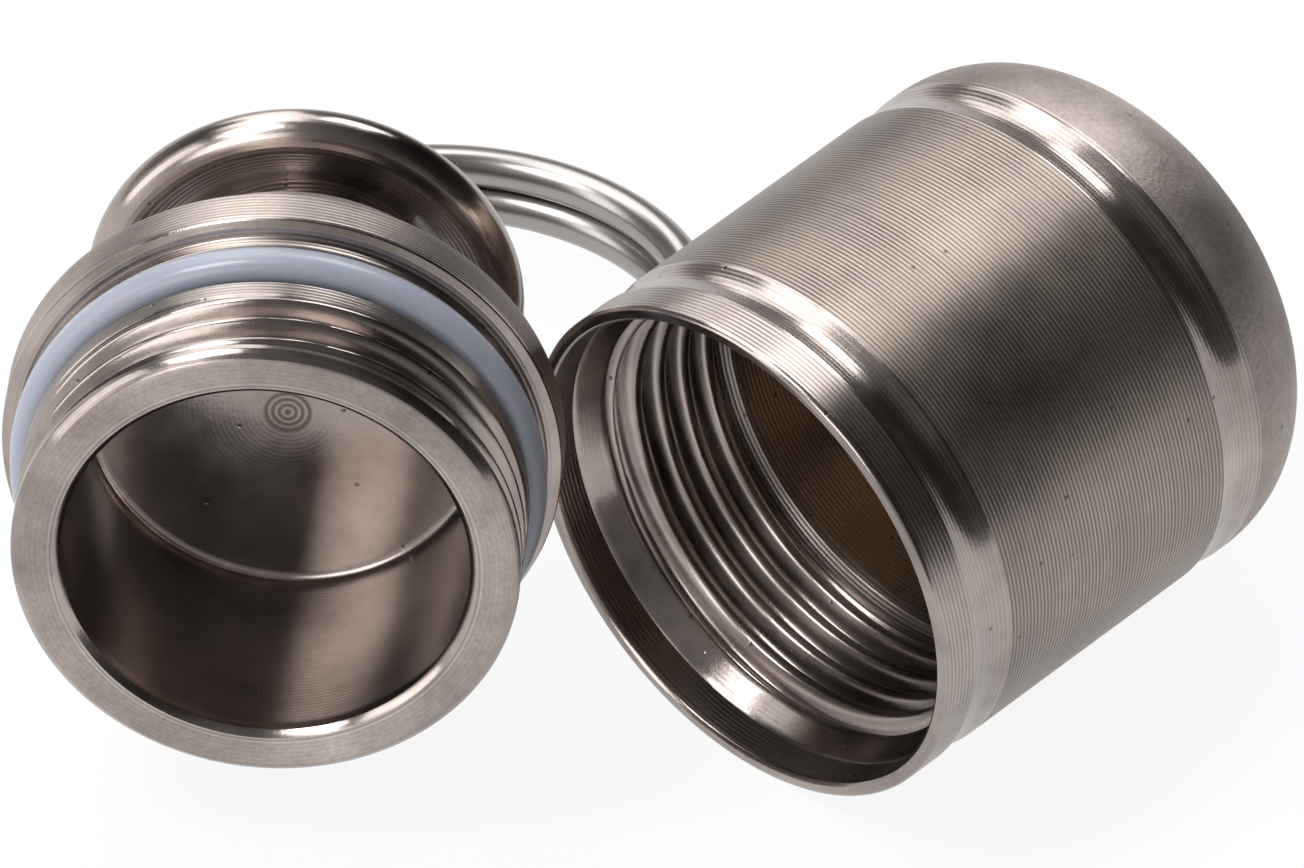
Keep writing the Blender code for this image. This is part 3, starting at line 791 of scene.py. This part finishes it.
def milky_silicone():
    """Moulded silicone: milky and faintly blue, soft inside, with a smooth wet-looking skin."""
    material, tree = new_material("milky_silicone")
    place = add_node(tree, "ShaderNodeTexCoord").outputs["Object"]
    cloud = add_node(tree, NOISE, {
        "Vector": place, "Scale": SEAL_CLOUDS_PER_MM / MM, "Detail": 4.0,
    }).outputs["Fac"]
    roughness = add_node(tree, MAP_RANGE, {"Value": cloud, "To Min": 0.22, "To Max": 0.42})
    bump = add_node(tree, "ShaderNodeBump", {
        "Height": cloud, "Strength": 0.2, "Distance": SEAL_CLOUD_HEIGHT_MM * MM,
    })
    shader = add_node(tree, "ShaderNodeBsdfPrincipled", {
        "Base Color": linear("silicone"), "Subsurface Weight": 0.5, "Subsurface Scale": SEAL_DEPTH_MM * MM,
        "IOR": SILICONE_IOR, "Coat Weight": 0.2, "Roughness": roughness, "Normal": bump,
    })
    add_node(tree, "ShaderNodeOutputMaterial", {"Surface": shader})
    return material


def polished_wire():
    """Drawn spring wire, polished: a bright metal whose gloss is a little cloudy, about every 4 mm."""
    material, tree = new_material("polished_wire")
    place = add_node(tree, "ShaderNodeTexCoord").outputs["Object"]
    cloud = add_node(tree, NOISE, {
        "Vector": place, "Scale": WIRE_CLOUDS_PER_MM / MM, "Detail": 3.0,
    }).outputs["Fac"]
    roughness = add_node(tree, MAP_RANGE, {"Value": cloud, "To Min": 0.24, "To Max": 0.34})
    shader = add_node(tree, "ShaderNodeBsdfPrincipled", {
        "Base Color": linear("wire"), "Metallic": 1.0, "Roughness": roughness,
    })
    add_node(tree, "ShaderNodeOutputMaterial", {"Surface": shader})
    return material


def white_table():
    """Matt white board, nearly plain white to the camera and in reflections, so a faint shadow stays."""
    material, tree = new_material("white_table")
    path = add_node(tree, "ShaderNodeLightPath").outputs
    pale = add_node(tree, "ShaderNodeBsdfDiffuse", {"Color": TABLE_PALE})
    white = add_node(tree, "ShaderNodeEmission", {"Color": linear("table"), "Strength": 1.0})
    seen = add_node(tree, MATH, {0: path["Is Camera Ray"], 1: TABLE_WHITE_SEEN}, operation="MULTIPLY")
    mirrored = add_node(tree, MATH, {
        0: path["Is Glossy Ray"], 1: TABLE_WHITE_MIRRORED,
    }, operation="MULTIPLY")
    share = add_node(tree, MATH, {0: seen, 1: mirrored}, operation="MAXIMUM")
    mixed = add_node(tree, "ShaderNodeMixShader", {0: share, 1: pale, 2: white})
    add_node(tree, "ShaderNodeOutputMaterial", {"Surface": mixed})
    return material


# Pieces

def build_body(metal):
    mesh = turned_mesh("capsule_body_turned", BODY_AXIS, BODY_MOUTH, body_rows())
    tree = thread_tree(BODY_AXIS, BODY_MOUTH, metal, BODY_WAVE)
    piece = apply_tree("capsule_body_turned", mesh, tree, metal)
    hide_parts("capsule_body")
    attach(piece, "capsule")


def build_cap(metal):
    rows, front, back, web, total = cap_rows()
    cells = opened_cells((0, web - 1), INNER_SLOT_DEGREES)
    cells |= opened_cells((web - 1, total - 1), OUTER_SLOT_DEGREES)
    mesh = turned_mesh("screw_cap_turned", CAP_AXIS, CAP_MOUTH, rows, [(cells, front, back, total)])
    tree = thread_tree(CAP_AXIS, CAP_MOUTH, metal, CAP_WAVE)
    piece = apply_tree("screw_cap_turned", mesh, tree, metal)
    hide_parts("screw_cap")
    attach(piece, "cap")


def build_seal(silicone):
    points = []
    faces = []
    for column, outward in enumerate(outward_directions(CAP_AXIS)):
        low = column * SEAL_SIDES
        high = (column + 1) % COLUMNS * SEAL_SIDES
        for side in range(SEAL_SIDES):
            turn = TURN * side / SEAL_SIDES
            beside = (side + 1) % SEAL_SIDES
            radius = SEAL_CENTRE_SHARE + SEAL_SECTION_SHARE * math.cos(turn)
            station = SEAL_STATION_SHARE + SEAL_SECTION_SHARE * math.sin(turn)
            points.append(CAP_MOUTH - CAP_AXIS * station * BODY_RADIUS + outward * radius * BODY_RADIUS)
            faces.append((low + side, high + side, high + beside, low + beside))
    mesh = bpy.data.meshes.new("seal_ring_moulded")
    mesh.from_pydata(points, [], faces)
    finish_mesh(mesh)
    mesh.materials.append(silicone)
    piece = new_piece("seal_ring_moulded", mesh)
    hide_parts("seal_ring")
    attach(piece, "seal")


def build_ring(wire):
    piece = apply_tree("split_ring_wound", bpy.data.meshes.new("split_ring_start"), coil_tree(wire), wire)
    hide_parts("split_ring")
    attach(piece, "ring")


# Stage

def build_camera():
    pixel = BODY_RADIUS / BODY_RADIUS_PIXELS
    sideways = (MOUTH_PIXEL[0] - PHOTO_WIDTH / 2) * pixel
    downward = (MOUTH_PIXEL[1] - PHOTO_HEIGHT / 2) * pixel
    aim = BODY_MOUTH - CAMERA_RIGHT * sideways + CAMERA_UP * downward
    data = bpy.data.cameras.new("camera")
    data.sensor_width = SENSOR_MM
    data.lens = FOCAL_PIXELS / PHOTO_WIDTH * SENSOR_MM
    data.clip_start = CLIP_NEAR
    data.clip_end = CLIP_FAR
    camera = bpy.data.objects.new("camera", data)
    turn = Matrix((CAMERA_RIGHT, CAMERA_UP, CAMERA_BACK)).transposed().to_4x4()
    camera.matrix_world = Matrix.Translation(aim + CAMERA_BACK * FOCAL_PIXELS * pixel) @ turn
    bpy.context.collection.objects.link(camera)
    bpy.context.scene.camera = camera


def build_softboxes():
    for name, place, width, height, power in SOFTBOXES:
        data = bpy.data.lights.new(name, "AREA")
        data.shape = "RECTANGLE"
        data.size = width
        data.size_y = height
        data.energy = power
        lamp = bpy.data.objects.new(name, data)
        lamp.location = place
        lamp.rotation_euler = (Vector(place) - Vector(SOFTBOX_TARGET)).to_track_quat("Z", "Y").to_euler()
        bpy.context.collection.objects.link(lamp)


def build_room():
    """A dim room, lighter at the horizon and on the left and front, and pure white to the camera."""
    world = bpy.data.worlds.new("white_studio")
    bpy.context.scene.world = world
    world.use_nodes = True
    tree = world.node_tree
    tree.nodes.clear()
    direction = add_node(tree, "ShaderNodeTexCoord").outputs["Generated"]
    parts = add_node(tree, "ShaderNodeSeparateXYZ", {0: direction}).outputs
    rise = add_node(tree, MAP_RANGE, {"Value": parts["Z"], "From Max": 0.50, "To Min": 0.48, "To Max": 0.12})
    side = add_node(tree, MAP_RANGE, {
        "Value": parts["X"], "From Min": 0.10, "From Max": 0.70, "To Min": 1.0, "To Max": 0.15,
    }, interpolation_type="SMOOTHSTEP")
    front = add_node(tree, MAP_RANGE, {
        "Value": parts["Y"], "From Min": 0.1, "From Max": -0.6, "To Min": 1.0, "To Max": 1.7,
    })
    dimmed = add_node(tree, MATH, {0: rise, 1: side}, operation="MULTIPLY")
    strength = add_node(tree, MATH, {0: dimmed, 1: front}, operation="MULTIPLY")
    room = add_node(tree, "ShaderNodeBackground", {"Color": ROOM_COLOUR, "Strength": strength})
    white = add_node(tree, "ShaderNodeBackground", {"Color": WHITE, "Strength": 1.0})
    path = add_node(tree, "ShaderNodeLightPath").outputs
    mixed = add_node(tree, "ShaderNodeMixShader", {0: path["Is Camera Ray"], 1: room, 2: white})
    add_node(tree, "ShaderNodeOutputWorld", {"Surface": mixed})


def build_table():
    corners = [(x * TABLE_HALF, y * TABLE_HALF, 0) for x, y in ((-1, -1), (1, -1), (1, 1), (-1, 1))]
    mesh = bpy.data.meshes.new("table")
    mesh.from_pydata(corners, [], [(0, 1, 2, 3)])
    mesh.materials.append(white_table())
    table = new_piece("table", mesh)
    table.location.z = -TABLE_DROP


bpy.context.scene.view_settings.view_transform = "Standard"
titanium = turned_titanium()
build_body(titanium)
build_cap(titanium)
build_seal(milky_silicone())
build_ring(polished_wire())
build_table()
build_room()
build_softboxes()
build_camera()
bpy.context.view_layer.update()
